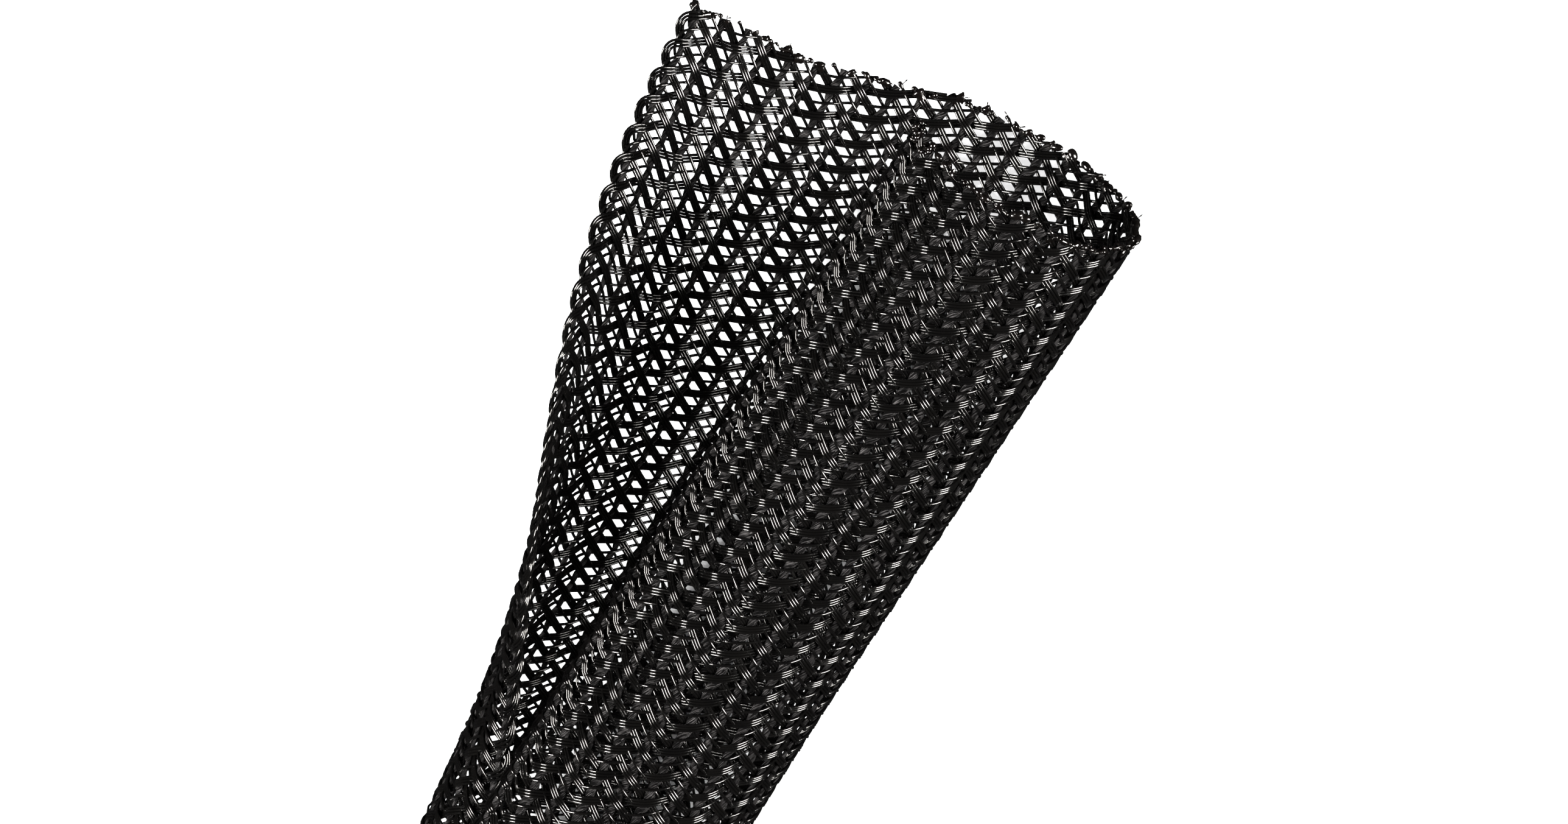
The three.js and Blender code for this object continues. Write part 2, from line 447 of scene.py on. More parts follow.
def wave(u):
    """From -1 to 1: the height of the falling family, and less the height of the rising one."""
    return np.cos(np.pi * u / YARN_PITCH)


print(f"strands of a family follow each other every {STRAND_PITCH / MM:.2f} mm along the sleeve")

# %% [markdown]
# At each long edge a strand loops round the edge yarn and goes back in the other family. On the flap
# the loops stand open: a bundle goes past the last yarn, turns down in a round bow and comes back.
# On the outer edge they are drawn tight: the strands run along the edge, cross over the edge yarn
# square to it and run on beside it. Both are drawn as a few points, from where the falling strand
# leaves its line to where the rising one begins, and the corners are cut off to make them smooth.
# A bundle's filaments lie side by side all the way round, so each is moved aside from the path.

# %% The loops on the two edges
OUTER_WRAP = MM * np.array([  # width, place along the sleeve and height
    (1.0, -0.58, 0.1), (0.76, -0.2, 0.2), (0.6, 0.2, 0.34), (0.4, 0.48, 0.52), (0.1, 0.6, 0.62),
    (-0.25, 0.68, 0.57), (-0.52, 0.8, 0.3), (-0.64, 1.1, 0.05), (-0.6, 1.8, -0.12), (-0.3, 2.5, -0.25),
    (0.3, 3.06, -0.3),
])
RISING_FROM = OUTER_WRAP[-1, 0]
FALLING_FROM = OUTER_WRAP[0, 0]
FLAP_BOW = MM * np.array([
    (0.0, 0.0, -0.31), (0.55, -0.26, -0.26), (0.98, -0.68, -0.12), (1.12, -1.23, 0.0), (1.0, -1.78, 0.1),
    (0.6, -2.38, 0.24), (0.0, -2.887, 0.31),
])
SINGLE_BOW = np.array([0.6, 1, 1])  # a single filament loops closer to the yarn
BOW_SPREAD = 1.15  # the filaments fan out a little in the bow


def cut_corners(points):
    """Each corner is replaced by two points on its sides, and the two ends stay."""
    near = 0.75 * points[:-1] + 0.25 * points[1:]
    far = 0.25 * points[:-1] + 0.75 * points[1:]
    between = np.stack([near, far], axis=1).reshape(-1, points.shape[1])
    return np.vstack([points[:1], between[1:-1], points[-1:]])


def loop(path, aside):
    """A smooth loop whose filament lies to one side of the path."""
    path = cut_corners(path)
    du, dx = np.gradient(path[:, 0]), np.gradient(path[:, 1])
    to_left = np.stack([-dx, du, 0 * du], axis=1) / np.hypot(du, dx)[:, None]
    return path + aside * to_left


print("a loop on the flap has", len(loop(FLAP_BOW, 0.0)), "points")

# %% [markdown]
# A run of strand goes across the whole web. Its shape is the same for every strand of its kind, only
# shifted along the sleeve, so it is worked out once as a template of width, shift and height. The
# falling run has the loops at its two ends, and the rising run starts and ends where they do.

# %% Templates for a run of strand
FINE_STEPS = 6  # points for each yarn pitch in the stretch that the camera sees
COARSE_EVERY = 3  # of these, a coarse tube keeps one in three
JOIN_GAP = 0.3  # share of a step: a point this near to a run's end is left out


def run_template(rising, filament, bundle):
    """Points (u, x, height) of one run, and which of them a coarse tube keeps."""
    heading = 1 if rising else -1
    aside = filament * FILAMENT_PITCH
    offset = aside * np.array([-np.sin(BRAID_ANGLE), heading * np.cos(BRAID_ANGLE), 0])
    step = YARN_PITCH / FINE_STEPS
    first = RISING_FROM if rising else FALLING_FROM
    u = step * np.arange(int(WEB_WIDTH / step) + 1)
    u = u[(u > first + JOIN_GAP * step) & (u < WEB_WIDTH - JOIN_GAP * step)]
    if rising:
        u = np.concatenate([[first], u, [WEB_WIDTH]])
    height = -heading * wave(u) * WAVE_HEIGHT
    line = np.stack([u, heading * RISE * u, height], axis=1) + offset
    kept = np.round(u / step).astype(int) % COARSE_EVERY == 0
    if not rising:
        bow = FLAP_BOW * (1 if bundle else SINGLE_BOW) + [WEB_WIDTH, -RISE * WEB_WIDTH, 0]
        ends = loop(OUTER_WRAP, aside)[::-1], loop(bow, -BOW_SPREAD * aside)
        line = np.concatenate([ends[0], line, ends[1]])
        kept_in_wrap = np.arange(len(ends[0])) % COARSE_EVERY == 0
        kept_in_bow = np.arange(len(ends[1])) % COARSE_EVERY == COARSE_EVERY - 1
        kept = np.concatenate([kept_in_wrap, kept, kept_in_bow])
    kept[0] = kept[-1] = True
    return line, kept


templates = {
    (rising, filament, bundle): run_template(rising, filament, bundle)
    for rising in (True, False)
    for filament, bundle in ((-1, True), (0, True), (1, True), (0, False))
}
print("a falling run has", len(templates[False, 0, True][0]), "points")

# %% [markdown]
# Each run is cut off at the mouth and at the far end. A hot knife doesn't cut straight: the cut
# stands out a little at the outer edge's corner and around the tube's far side, with a slow ripple
# between them. The strand ends are kept in a list, because the melted heads are made from them.

# %% Cut a run to length
LIP_AT = 37 * MM  # around the tube's far side the cut stands out most
LIP_WIDTH = 9 * MM
LIP = 0.8
CORNER_LIP_WIDTH = 1.5 * MM
CUT_MARGIN = 0.1
CUT_RIPPLE = 0.12
CUT_RIPPLE_LENGTH = 1.7 * MM


def overhang(u):
    """How far the melted edge stands out beyond the wall's end, along the sleeve."""
    side = np.exp(-(((u - LIP_AT) / LIP_WIDTH) ** 2))
    corner = np.exp(-u / CORNER_LIP_WIDTH)
    return (CUT_MARGIN + LIP * side + LIP * corner + CUT_RIPPLE * np.sin(u / CUT_RIPPLE_LENGTH)) * MM


def cut_to_length(points, kept, uneven):
    """Keeps what lies between the two cut ends and ends it exactly on the cut."""
    inside_mouth = distance_from_mouth(points[:, 0], points[:, 1]) + overhang(points[:, 0]) + uneven
    inside_far = points[:, 1] + SLEEVE_LENGTH / 2
    room = np.minimum(inside_mouth, inside_far)
    inside = np.flatnonzero(room > 0)
    if len(inside) < 2:
        return None, None, []
    stretch = slice(max(inside[0] - 1, 0), inside[-1] + 2)
    points, kept, room = points[stretch].copy(), kept[stretch].copy(), room[stretch]
    ends = []
    for end, neighbour in ((0, 1), (-1, -2)):
        if room[end] <= 0:
            share = room[neighbour] / (room[neighbour] - room[end])
            points[end] = points[neighbour] + (points[end] - points[neighbour]) * share
            ends.append((points[end].copy(), points[neighbour].copy()))
        kept[end] = True
    return points, kept, ends


print(f"around the tube's far side the cut stands out {float(overhang(LIP_AT)) / MM:.2f} mm")

# %% [markdown]
# A real strand never lies quite true, so each run wanders a little from its line, except at the two
# edges, where the loops have to meet the runs. The run is then split where the finely modelled
# stretch ends. The rest lies outside the picture: there the same strands have fewer sides and fewer
# points, which keeps the whole braid under a million triangles.

# %% Lay one run of filament
FINE_FROM_MOUTH = 85 * MM
WANDER = 0.05 * MM
WANDER_LIFT = 0.3  # share of the wander
WANDER_LENGTH = 9 * MM
LIFT_LENGTH = 5 * MM
PHASE_SPREAD = 6
HELD_WIDTH = 3 * MM
UNEVEN_CUT = 0.16 * MM


def lay_run(rising, filament, bundle, shift, drift, fine, coarse, cut_ends):
    points, kept = templates[rising, filament, bundle]
    points = points + [0, shift, 0]
    u = points[:, 0]
    loose = smooth((u - FALLING_FROM) / HELD_WIDTH) * smooth((WEB_WIDTH - u) / HELD_WIDTH)
    points[:, 1] += row_slip(u, points[:, 1])
    points[:, 1] += WANDER * loose * drift[0] * np.sin(u / WANDER_LENGTH + PHASE_SPREAD * drift[1])
    points[:, 2] += WANDER_LIFT * WANDER * loose * np.sin(u / LIFT_LENGTH + PHASE_SPREAD * drift[2])
    points, kept, ends = cut_to_length(points, kept, drift[3] * UNEVEN_CUT)
    if points is None:
        return
    if filament == 0:
        cut_ends.extend((end, unit(end - before), bundle) for end, before in ends)
    from_mouth = SLEEVE_LENGTH / 2 - points[:, 1]
    seen = from_mouth < FINE_FROM_MOUTH
    places, outward = place_on_web(points[:, 0], points[:, 1], points[:, 2])
    if seen.all():
        fine.add(places, outward, FILAMENT_RADIUS)
        return
    if seen.any():
        kept_places = np.flatnonzero(kept)
        split = kept_places[np.argmin(np.abs(from_mouth[kept_places] - FINE_FROM_MOUTH))]
        on_fine_side = np.arange(len(points)) >= split if seen[-1] else np.arange(len(points)) <= split
        if on_fine_side.sum() > 1:
            fine.add(places[on_fine_side], outward[on_fine_side], FILAMENT_RADIUS)
        on_coarse_side = ~on_fine_side
        on_coarse_side[split] = True
        kept = kept & on_coarse_side
    if kept.sum() > 1:
        coarse.add(places[kept], outward[kept], FILAMENT_RADIUS)


print(f"the finely modelled stretch ends {FINE_FROM_MOUTH / MM:.0f} mm from the mouth")

# %% [markdown]
# The runs of a family repeat along the whole sleeve, bundle and single in turn. Each family gives
# two pieces of its outer filaments and two of its middle ones, which include the singles. That
# keeps each piece light enough to handle. Chance is seeded, so that every run of the script is alike.

# %% Lay both families
FINE_SIDES = 6
COARSE_SIDES = 3
SEED = 7
random = np.random.default_rng(SEED)


def lay_family(rising):
    fine_outer, coarse_outer = TubeMesh(FINE_SIDES), TubeMesh(COARSE_SIDES)
    fine_middle, coarse_middle = TubeMesh(FINE_SIDES), TubeMesh(COARSE_SIDES)
    cut_ends = []
    reach = SLEEVE_LENGTH / 2 + RISE * WEB_WIDTH + 4 * STRAND_PITCH
    half_count = int(reach / STRAND_PITCH)
    for index in range(-half_count, half_count + 1):
        bundle = index % 2 == 0
        shift = index * STRAND_PITCH
        drift = random.normal(0, 1, 4)
        for filament in (-1, 0, 1) if bundle else (0,):
            fine = fine_outer if filament else fine_middle
            coarse = coarse_outer if filament else coarse_middle
            lay_run(rising, filament, bundle, shift, drift, fine, coarse, cut_ends)
    family = "rising" if rising else "falling"
    pieces = [
        fine_outer.make(f"{family}_outer_filaments_at_mouth"),
        coarse_outer.make(f"{family}_outer_filaments_of_tube"),
        fine_middle.make(f"{family}_middle_filaments_at_mouth"),
        coarse_middle.make(f"{family}_middle_filaments_of_tube"),
    ]
    return pieces, cut_ends


rising_pieces, rising_ends = lay_family(True)
falling_pieces, falling_ends = lay_family(False)
cut_ends = rising_ends + falling_ends
print(len(cut_ends), "strand ends at the two cuts")

# %% [markdown]
# ## The axial yarns
# Between the two families lies a soft, flat yarn of fine dark fibres every 2.5 mm. It bulges in the
# openings and is pinched where the strands cross it. A flattened tube with a wavy width shows that
# in outline, and the single fibres are left to the material.

# %% Lay the yarns
YARN_HALF_WIDTH = 0.46 * MM
YARN_HALF_HEIGHT = 0.15 * MM
YARN_SWELL = 0.14
YARN_SWAY = 0.11 * MM
YARN_WOBBLE = 0.03 * MM
YARN_LIFT = 0.02 * MM
WIDTH_WOBBLE = 0.09
YARN_STEP_FINE = 0.72 * MM
YARN_STEP_COARSE = 1.44 * MM
YARN_SIDES = 8
YARN_SIDES_TUBE = 4
INTO_FLAP = 8 * MM  # the yarns take on the flap's shape over this width
FLAP_YARN_SIDE_STEP = -0.06  # share of the pitch
FLAP_YARN_NARROWER = 0.24  # the pull that opened the flap has drawn its yarns thin
EDGE_CORD_RADIUS = 0.36 * MM
EDGE_CORD_LIFT = 0.14 * MM
EDGE_CORD_WOBBLE = 0.04 * MM


def lay_yarn(number, mesh, x_start, x_end, step):
    on_flap = smooth((number * YARN_PITCH - REST_LINE) / INTO_FLAP)
    u_middle = (number + FLAP_YARN_SIDE_STEP * on_flap) * YARN_PITCH
    count = max(int((x_end - x_start) / step), 2)
    x = np.linspace(x_start, x_end, count + 1)
    phase = np.pi * (x - row_slip(np.full_like(x, u_middle), x)) / STRAND_PITCH
    parity = 1 if number % 2 == 0 else -1
    pinch = 0.5 + 0.5 * np.cos(2 * phase)
    # two slow waves that don't keep step with the weave, and differ from yarn to yarn
    wobble = np.sin(phase * 0.37 + number * 1.7) + np.sin(phase * 0.61 + number * 2.9)
    u = u_middle + YARN_SWAY * parity * np.cos(phase) + YARN_WOBBLE * wobble
    half_width = YARN_HALF_WIDTH * (1 + YARN_SWELL * (1 - 2 * pinch) + WIDTH_WOBBLE * wobble)
    half_width = half_width * (1 - FLAP_YARN_NARROWER * on_flap)
    half_height = YARN_HALF_HEIGHT * (1.25 - 0.35 * pinch)
    lift = YARN_LIFT * wobble
    if number == 0:  # the edge yarn is bound into a round cord
        u = EDGE_CORD_WOBBLE * wobble
        half_width = EDGE_CORD_RADIUS * (1.08 + 0.05 * wobble)
        half_height = np.full_like(x, EDGE_CORD_RADIUS)
        lift = lift + EDGE_CORD_LIFT
    places, outward = place_on_web(u, x, lift)
    mesh.add(places, outward, half_width, half_height)


yarns_at_mouth, yarns_of_tube = TubeMesh(YARN_SIDES), TubeMesh(YARN_SIDES_TUBE)
yarn_count = int(round(WEB_WIDTH / YARN_PITCH)) + 1
yarn_border = SLEEVE_LENGTH / 2 - FINE_FROM_MOUTH
for number in range(yarn_count):
    u_yarn = np.array([number * YARN_PITCH])
    mouth_end = SLEEVE_LENGTH / 2 + float((overhang(u_yarn) - setback(u_yarn, 0.0))[0])
    lay_yarn(number, yarns_at_mouth, yarn_border, mouth_end, YARN_STEP_FINE)
    lay_yarn(number, yarns_of_tube, -SLEEVE_LENGTH / 2, yarn_border, YARN_STEP_COARSE)
yarn_pieces = [yarns_at_mouth.make("yarns_at_mouth"), yarns_of_tube.make("yarns_of_tube")]
print(yarn_count, "yarns")

# %% [markdown]
# ## The melted cut
# Braid of this kind is cut with a hot knife, so that it doesn't fray. Every bundle ends in a
# flared, shiny head, the single filaments end in small beads, and between them the melt has left
# lumps, webs and fine strings. All of them can be short tubes whose width follows a profile. A head
# starts inside the strand, flares and closes. A string is thin in its middle, and a spike flares
# again at its tip. Size, length and lean are left to seeded chance.

# %% Heads, strings and spikes of melt
MELT_SIDES = 8
HEAD_PROFILE = np.array([  # how far along, how wide
    (-0.45, 0.75), (-0.25, 0.95), (-0.1, 1.1), (0.02, 1.35), (0.12, 1.5), (0.21, 1.35), (0.27, 0.85),
    (0.3, 0.03),
])
HEAD_SIZES = (0.8, 1.25)
HEAD_STRETCHES = (0.8, 1.3)
HEAD_LEAN = 0.35
HEAD_LEAN_SHARES = (1, 0.3, 0.6)  # across the web, along the sleeve and outward
HEAD_LUMPS = 0.12
STRING_POINTS = 8
STRING_THINNING = 0.75
SPIKE_PROFILE = np.array([1, 0.75, 0.55, 0.5, 0.6, 0.85, 0.1])
SPIKE_CURL = 0.35


def add_on_web(mesh, points, half_width, half_height=None):
    """A tube through points given as width, place along the sleeve and height."""
    places, outward = place_on_web(points[:, 0], points[:, 1], points[:, 2])
    mesh.add(places, outward, half_width, half_height)


def melted_head(mesh, end, heading, half_width, half_height):
    size = random.uniform(*HEAD_SIZES)
    along = HEAD_PROFILE[:, 0] * MM * size * random.uniform(*HEAD_STRETCHES)
    points = end + heading * along[:, None]
    lean = random.normal(0, HEAD_LEAN, 3) * HEAD_LEAN_SHARES
    points = points + np.clip(along, 0, None)[:, None] * lean
    lumps = 1 + HEAD_LUMPS * random.normal(0, 1, len(along))
    widths = HEAD_PROFILE[:, 1] * lumps * size
    add_on_web(mesh, points, half_width * widths, half_height * widths)


def melt_string(mesh, start, finish, thick, sag):
    t = np.linspace(0, 1, STRING_POINTS)
    points = start + (finish - start) * t[:, None]
    points = points + np.outer(np.sin(np.pi * t), sag)
    add_on_web(mesh, points, thick * (1 - STRING_THINNING * np.sin(np.pi * t) ** 0.7))


def melt_spike(mesh, start, direction, length, thick):
    t = np.linspace(0, 1, len(SPIKE_PROFILE))
    curl = random.normal(0, SPIKE_CURL, 3) * length
    points = start + np.outer(t * length, direction) + np.outer(t**2, curl)
    add_on_web(mesh, points, thick * SPIKE_PROFILE)


print("a melted head has", len(HEAD_PROFILE), "rings")

# %% [markdown]
# Along the mouth every strand end gets its head, and some get a spike. The lumpy rim is one long
# tube along the cut, whose thickness rises and falls. It is left out where it would get too thin,
# so it breaks up into ropes and shorter lumps. Last come the strings that span from head to head.

# %% Melt along the mouth
BUNDLE_HEAD = (0.34 * MM, 0.19 * MM)  # half the width and half the height
SINGLE_HEAD = (0.15 * MM, 0.14 * MM)
BUNDLE_SPIKES = 0.5  # share of the ends that have a spike
SINGLE_SPIKES = 0.25
SPIKE_RADIUS = 0.09 * MM
RIM_STEP = 0.13 * MM
RIM_PAST_EDGE = 0.2 * MM
RIM_AT = 38 * MM  # the rim is thickest around the tube's far side
RIM_SPREAD = 10 * MM
NEAR_RIM_UNTIL = 26 * MM
RIM_LEAST = 0.045 * MM
RIM_SHORTEST = 4  # points
RIM_UNEVEN = {  # how much, and the seed of its chance
    "thick": (0.075 * MM, 11),
    "place": (0.16 * MM, 12),
    "height": (0.12 * MM, 13),
}
STRING_RADIUS = 0.07 * MM
STRING_SHARE = 0.5
STRING_GAPS = (0.3 * MM, 3 * MM)


def mouth_place(u, beyond=0.0):
    return SLEEVE_LENGTH / 2 - setback(u, 0.0) + overhang(u) + beyond


def uneven_line(places, roughness, seed):
    """A smooth random line with features from 0.4 mm to 8 mm long."""
    phases = np.random.default_rng(seed)
    line = np.zeros_like(places)
    for wavelength in (8.0, 4.6, 2.5, 1.3, 0.75, 0.42):
        swing = wavelength**0.35
        line += swing * np.sin(2 * np.pi * (places / (wavelength * MM) + phases.uniform()))
    return roughness * line / 2.5


def add_heads(mesh, ends):
    for end, heading, bundle in ends:
        melted_head(mesh, end, heading, *(BUNDLE_HEAD if bundle else SINGLE_HEAD))
        if random.uniform() < (BUNDLE_SPIKES if bundle else SINGLE_SPIKES):
            aside = [random.normal(0, 0.5), abs(random.normal(0.6, 0.3)), random.normal(0, 0.4)]
            length = random.uniform(0.35, 0.85) * MM
            melt_spike(mesh, end, unit(heading + aside), length, SPIKE_RADIUS)


def add_rim(mesh):
    u = np.arange(-RIM_PAST_EDGE, WEB_WIDTH + RIM_PAST_EDGE, RIM_STEP)
    on_side = np.exp(-(((u - RIM_AT) / RIM_SPREAD) ** 2)) + 0.5 * (u < NEAR_RIM_UNTIL)
    thick = (0.055 + 0.1 * on_side) * MM + uneven_line(u, *RIM_UNEVEN["thick"])
    place = mouth_place(u, uneven_line(u, *RIM_UNEVEN["place"]))
    height = uneven_line(u, *RIM_UNEVEN["height"])
    there = thick > RIM_LEAST
    for start in np.flatnonzero(there & ~np.roll(there, 1)):
        stop = start
        while stop < len(u) and there[stop]:
            stop += 1
        count = stop - start
        if count < RIM_SHORTEST:
            continue
        lump = slice(start, stop)
        from_end = np.minimum(np.arange(count), np.arange(count)[::-1])
        radius = thick[lump] * np.minimum(1, 0.15 + 0.4 * from_end)
        points = np.stack([u[lump], place[lump], height[lump]], axis=1)
        add_on_web(mesh, points, radius * 1.25, radius)


def add_strings(mesh, ends):
    in_order = sorted(tuple(end) for end, _, _ in ends)
    for first, second in zip(in_order, in_order[1:]):
        gap = abs(second[0] - first[0])
        if STRING_GAPS[0] < gap < STRING_GAPS[1] and random.uniform() < STRING_SHARE:
            sag = np.array([0, random.uniform(-0.35, 0.1), random.normal(0, 0.15)]) * MM
            melt_string(mesh, np.array(first), np.array(second), STRING_RADIUS, sag)


mouth_ends = [end for end in cut_ends if end[0][1] > 0]
far_ends = [end for end in cut_ends if end[0][1] < 0]
mouth_melt = TubeMesh(MELT_SIDES)
add_heads(mouth_melt, mouth_ends)
add_rim(mouth_melt)
add_strings(mouth_melt, mouth_ends)
print(len(mouth_ends), "strand ends at the mouth and", len(far_ends), "at the far end")

# %% [markdown]
# The flap's corner is drawn out into a tall spike. It is a few filaments that start side by side
# inside the web and lean together, and a flared head closes each of them.

# %% The spike on the flap's corner
SPIKE_LEAN = 0.6  # across for each millimetre along
SPIKE_FILAMENTS = ((-0.2, 1.5), (0.06, 1.8), (0.3, 1.1))  # how far aside and how long, in mm
SPIKE_ROOT = 1.8  # it starts this far inside the web, in mm
SPIKE_AT = WEB_WIDTH + 0.4 * MM
SPIKE_POINTS = 12
SPIKE_HEAD = (0.17 * MM, 0.14 * MM)


def corner_spike(mesh):
    t = np.linspace(0, 1, SPIKE_POINTS)
    for aside, rise in SPIKE_FILAMENTS:
        u = SPIKE_AT + (aside * (1 - 0.8 * t) + SPIKE_LEAN * rise * t**1.4 - 0.9 * (1 - t) ** 2) * MM
        x = mouth_place(np.full_like(t, SPIKE_AT)) + (t * (rise + SPIKE_ROOT) - SPIKE_ROOT) * MM
        points = np.stack([u, x, 0.15 * MM * np.sin(3 * t + aside)], axis=1)
        add_on_web(mesh, points, FILAMENT_RADIUS * (1 - 0.12 * t))
        melted_head(mesh, points[-1], unit(points[-1] - points[-2]), *SPIKE_HEAD)


corner_spike(mouth_melt)
print("the spike has", len(SPIKE_FILAMENTS), "filaments")

# %% [markdown]
# Elsewhere along the cut the melt has drawn up into drops. A drop is the same kind of tube again,
# with the half circle of a ball as its profile, stretched along the cut where it has run. At the
# outer edge's corner, where the last loops have run together, the drops stand in two clusters.

# %% Drops of melt
DROP_RINGS = 9
CLUSTERS = (  # beads, and their middle and spread in width, length and height, in mm
    (22, (0.1, 0.0, 0.35), (0.75, 0.7, 0.45)),
    (12, (2.0, -0.2, 0.15), (0.5, 0.6, 0.25)),
)
DROPS = (  # widths from the outer edge, and the smallest and largest radius, in mm
    ((3.4, 4.6, 7.6, 8.4, 12.3, 13.1, 17.4, 19.9, 22.6, 25.1), 0.26, 0.52),
    (np.arange(28, 50, 1.7), 0.26, 0.5),
    (np.arange(51, 82, 4.9), 0.16, 0.3),
)


def melt_drop(mesh, centre, direction, length, radius):
    turn = np.linspace(0, np.pi, DROP_RINGS)
    points = centre - np.outer(np.cos(turn) * length, direction)
    add_on_web(mesh, points, np.maximum(radius * np.sin(turn) ** 0.8, 0.01 * MM))


def corner_beads(mesh, count, middle, spread):
    """A cluster of shiny beads."""
    for _ in range(count):
        place = np.array(middle) + random.uniform(-1, 1, 3) * spread
        centre = np.array([place[0], mouth_place(place[0] * MM, place[1] * MM) / MM, place[2]]) * MM
        size = random.uniform(0.14, 0.34) * MM
        melt_drop(mesh, centre, unit(random.normal(0, 1, 3)), size, size * random.uniform(0.8, 1.1))


def drops_along_cut(mesh, widths, smallest, largest):
    for width in widths:
        u = width * MM
        radius = random.uniform(smallest, largest) * MM
        place = mouth_place(u, random.uniform(-0.1, 0.25) * MM)
        centre = np.array([u, place, random.normal(0, 0.08) * MM])
        direction = unit(np.array([1, random.normal(0, 0.35), random.normal(0, 0.15)]))
        melt_drop(mesh, centre, direction, radius * random.uniform(1.0, 2.2), radius)


for cluster in CLUSTERS:
    corner_beads(mouth_melt, *cluster)
for drops in DROPS:
    drops_along_cut(mouth_melt, *drops)
print(sum(len(widths) for widths, _, _ in DROPS), "drops along the cut")

# %% [markdown]
# The far end was cut in the same way. It lies outside the photograph, so it has plain heads without
# spikes, rim or drops.

# %% The far cut
far_melt = TubeMesh(MELT_SIDES)
for end, heading, bundle in far_ends:
    melted_head(far_melt, end, heading, *(BUNDLE_HEAD if bundle else SINGLE_HEAD))
melt_pieces = [mouth_melt.make("melted_cut_at_mouth"), far_melt.make("melted_cut_at_far_end")]

# %% [markdown]
# ## Finishes
# Shader maths reads best as plain arithmetic, so a small class wraps a socket: an expression on two
# wrapped sockets, or on a socket and a number, adds the Math node that works it out. Every other
# node comes from one method.

# %% A small language for shaders


class Wire:
    """A node output that can be added, subtracted and multiplied like a number."""

    def __init__(self, socket):
        self.socket = socket

    def math(self, operation, first, second):
        tree = self.socket.id_data
        return Finish.node_in(tree, "ShaderNodeMath", {"operation": operation}, {0: first, 1: second})

    def __add__(self, other):
        return self.math("ADD", self, other)

    def __radd__(self, other):
        return self.math("ADD", other, self)

    def __sub__(self, other):
        return self.math("SUBTRACT", self, other)

    def __rsub__(self, other):
        return self.math("SUBTRACT", other, self)

    def __mul__(self, other):
        return self.math("MULTIPLY", self, other)

    def __rmul__(self, other):
        return self.math("MULTIPLY", other, self)


class Finish:
    """One material, whose nodes are made by node() and end in a Principled shader."""

    def __init__(self, name):
        self.material = bpy.data.materials.new(name)
        self.material.use_nodes = True
        self.tree = self.material.node_tree
        self.shader = self.tree.nodes["Principled BSDF"]

    @staticmethod
    def node_in(tree, kind, settings=None, inputs=None, output=0):
        node = tree.nodes.new(kind)
        for key, value in (settings or {}).items():
            setattr(node, key, value)
        for key, value in (inputs or {}).items():
            if isinstance(value, Wire):
                tree.links.new(value.socket, node.inputs[key])
            else:
                node.inputs[key].default_value = value
        return Wire(node.outputs[output])

    def node(self, kind, settings=None, inputs=None, output=0):
        return self.node_in(self.tree, kind, settings, inputs, output)

    def mix(self, share, first, second):
        """A colour between two, by a share from 0 to 1."""
        return self.node(
            "ShaderNodeMix", {"data_type": "RGBA"}, {0: share, 6: first, 7: second}, output=2
        )

    def feed(self, **inputs):
        """Gives the shader's sockets their values, with _ for a space in their names."""
        for key, value in inputs.items():
            socket = self.shader.inputs[key.replace("_", " ")]
            if isinstance(value, Wire):
                self.tree.links.new(value.socket, socket)
            else:
                socket.default_value = value

    def put_on(self, *pieces):
        for piece in pieces:
            piece.data.materials.clear()
            piece.data.materials.append(self.material)
        print(f"{self.material.name}: {len(self.tree.nodes)} nodes on {len(pieces)} pieces")


print("a sum, difference or product of wires makes a Math node")

# %% [markdown]
# ### Glossy filament
# The filaments are drawn polyester, dyed black in the melt: deep black, with a clear gloss. A real
# one is never perfect, so the gloss changes a little along its length and fine draw marks bend the
# highlight. Both come from noise that is fine enough to vary within one opening of the mesh.

# %% Filament finish
JET = (0.0006, 0.0006, 0.0007, 1)
WORN_JET = (0.002, 0.0019, 0.0018, 1)


def filament_finish():
    finish = Finish("black_filament")
    place = finish.node("ShaderNodeTexCoord", output=3)
    cloud = finish.node("ShaderNodeTexNoise", {}, {"Vector": place, "Scale": 420.0, "Detail": 2.0})
    grain = finish.node("ShaderNodeTexNoise", {}, {"Vector": place, "Scale": 5200.0, "Detail": 2.0})
    finish.feed(
        Base_Color=finish.mix(cloud, JET, WORN_JET),
        Roughness=0.05 + 0.08 * cloud + 0.05 * grain,
        Specular_IOR_Level=0.35,
        Normal=finish.node("ShaderNodeBump", {}, {"Strength": 0.15, "Distance": 0.00002, "Height": grain}),
    )
    return finish


filament_finish().put_on(*rising_pieces, *falling_pieces)

# %% [markdown]
# ### Soft yarn
# The yarn is a loose twist of very fine fibres. It scatters light instead of mirroring it, so it reads as
# dark grey between black lines. The strand map runs along and around each yarn: a noise that is stretched
# along it and slanted by the twist draws the single fibres, as light streaks in the colour and as fine
# ridges in the bump. The light streaks are partly the fibres' own grey and partly a painted sheen on the
# fibres.

# %% Yarn finish
BETWEEN_FIBRES = (0.0002, 0.0002, 0.00025, 1)
# The light fibre colour is partly the fibres' own grey and partly a painted sheen on them.
FIBRE_AND_SHEEN = (0.15, 0.145, 0.15, 1)
FIBRES_ALONG = 700.0
FIBRES_AROUND = 32.0
TWIST = 8200.0


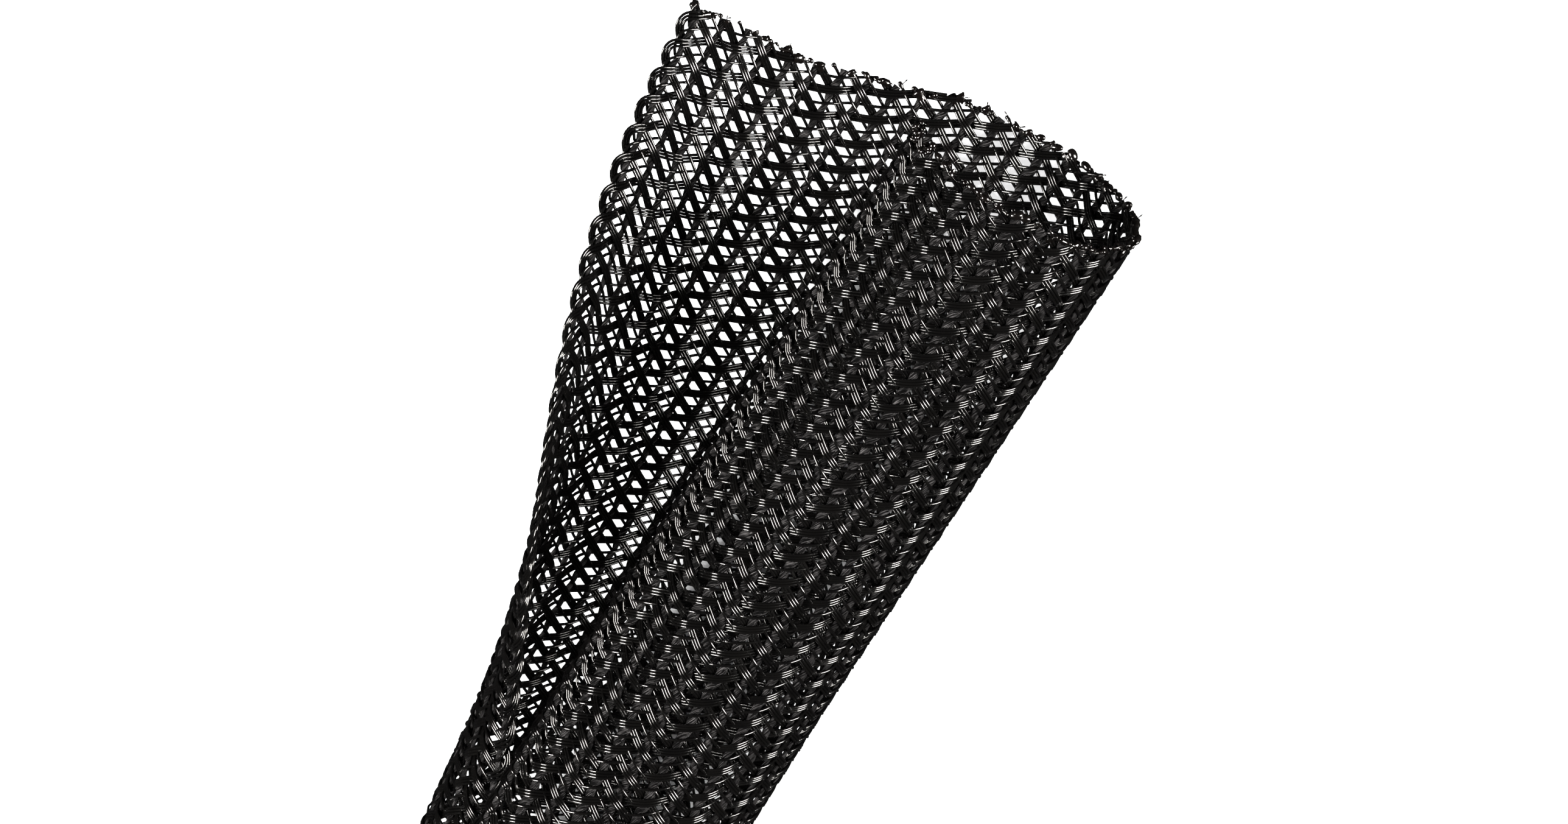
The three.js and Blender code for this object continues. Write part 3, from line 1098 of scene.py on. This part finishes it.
def yarn_finish():
    finish = Finish("dark_yarn")
    strand_map = finish.node("ShaderNodeUVMap", {"uv_map": "strand_map"})
    along = finish.node("ShaderNodeSeparateXYZ", {}, {0: strand_map}, output=0)
    around = finish.node("ShaderNodeSeparateXYZ", {}, {0: strand_map}, output=1)
    fibre_place = finish.node(
        "ShaderNodeCombineXYZ", {}, {0: along * FIBRES_ALONG, 1: around * FIBRES_AROUND + along * TWIST}
    )
    fibres = finish.node("ShaderNodeTexNoise", {}, {"Vector": fibre_place, "Scale": 1.0, "Detail": 3.0})
    place = finish.node("ShaderNodeTexCoord", output=3)
    clumps = finish.node("ShaderNodeTexNoise", {}, {"Vector": place, "Scale": 900.0, "Detail": 2.0})
    fibre_sheen_streaks = finish.node(
        "ShaderNodeMapRange", {}, {"Value": fibres, "From Min": 0.51, "From Max": 0.64}
    )
    # The light streaks in the base colour are partly painted sheen on the fibres.
    finish.feed(
        Base_Color=finish.mix(fibre_sheen_streaks * clumps * clumps, BETWEEN_FIBRES, FIBRE_AND_SHEEN),
        Roughness=0.5 + 0.3 * clumps,
        Specular_IOR_Level=0.03,
        Normal=finish.node("ShaderNodeBump", {}, {"Strength": 1.0, "Distance": 0.00012, "Height": fibres}),
    )
    return finish


yarn_finish().put_on(*yarn_pieces)

# %% [markdown]
# ### Melt
# The melt is the same plastic, but it froze in the open air: smoother and shinier than a drawn
# filament, with a faint brown tinge where it scorched, and with fine pits where it boiled.

# %% Melt finish
MELT_BLACK = (0.0008, 0.0007, 0.0007, 1)
SCORCHED = (0.0024, 0.0019, 0.0017, 1)


def melt_finish():
    finish = Finish("frozen_melt")
    place = finish.node("ShaderNodeTexCoord", output=3)
    scorch = finish.node("ShaderNodeTexNoise", {}, {"Vector": place, "Scale": 700.0, "Detail": 2.0})
    pits = finish.node("ShaderNodeTexNoise", {}, {"Vector": place, "Scale": 3800.0, "Detail": 3.0})
    finish.feed(
        Base_Color=finish.mix(scorch, MELT_BLACK, SCORCHED),
        Roughness=0.06 + 0.18 * scorch,
        Specular_IOR_Level=0.5,
        Normal=finish.node("ShaderNodeBump", {}, {"Strength": 0.5, "Distance": 0.00006, "Height": pits}),
    )
    return finish


melt_finish().put_on(*melt_pieces)

# %% [markdown]
# ### Floor
# The floor works like a light table: it gives off an even white, which shows as pure white through the
# open flap. Under the closed tube its glow is turned down into a painted shadow, a dark strip where the
# sleeve's own shadow lies; without it the floor's light would come up through the tube and turn its dark
# openings white.

# %% Floor finish
# Painted shadow: in this strip under the tube the floor's glow is turned down.
PAINTED_SHADOW_STRIP = (REST_LINE_Y - 11 * MM, REST_LINE_Y + 10.5 * MM)  # from side to side under the tube
PAINTED_SHADOW_UNTIL = SLEEVE_LENGTH / 2 - 13 * MM
STRIP_FADE = 4 * MM
FLOOR_GLOW = 0.75
SHADOW_GLOW = 0.015


def grey(value):
    return (value, value, value, 1)


def floor_finish():
    finish = Finish("pale_floor")
    place = finish.node("ShaderNodeTexCoord", output=3)
    cloud = finish.node("ShaderNodeTexNoise", {}, {"Vector": place, "Scale": 3.0, "Detail": 1.0})
    along = finish.node("ShaderNodeSeparateXYZ", {}, {0: place}, output=0)
    across = finish.node("ShaderNodeSeparateXYZ", {}, {0: place}, output=1)

    def step_up(value, edge):
        span = {"Value": value, "From Min": edge - STRIP_FADE / 2, "From Max": edge + STRIP_FADE / 2}
        return finish.node("ShaderNodeMapRange", {"interpolation_type": "SMOOTHSTEP"}, span)

    inside = step_up(across, PAINTED_SHADOW_STRIP[0]) * (1 - step_up(across, PAINTED_SHADOW_STRIP[1]))
    behind_mouth = 1 - step_up(along, PAINTED_SHADOW_UNTIL)
    before_far_end = step_up(along, -SLEEVE_LENGTH / 2)
    # the painted shadow: dark in the strip under the tube, between the far end and just short of the mouth
    shadow = inside * behind_mouth * before_far_end
    finish.feed(
        Base_Color=finish.mix(cloud, grey(0.79), grey(0.82)),
        Roughness=0.7,
        Emission_Color=finish.mix(shadow, grey(FLOOR_GLOW), grey(SHADOW_GLOW)),
        Emission_Strength=1.0,
    )
    return finish


floor_finish().put_on(floor)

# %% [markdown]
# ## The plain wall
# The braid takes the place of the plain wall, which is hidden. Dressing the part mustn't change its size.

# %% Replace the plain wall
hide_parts("sleeve_wall")
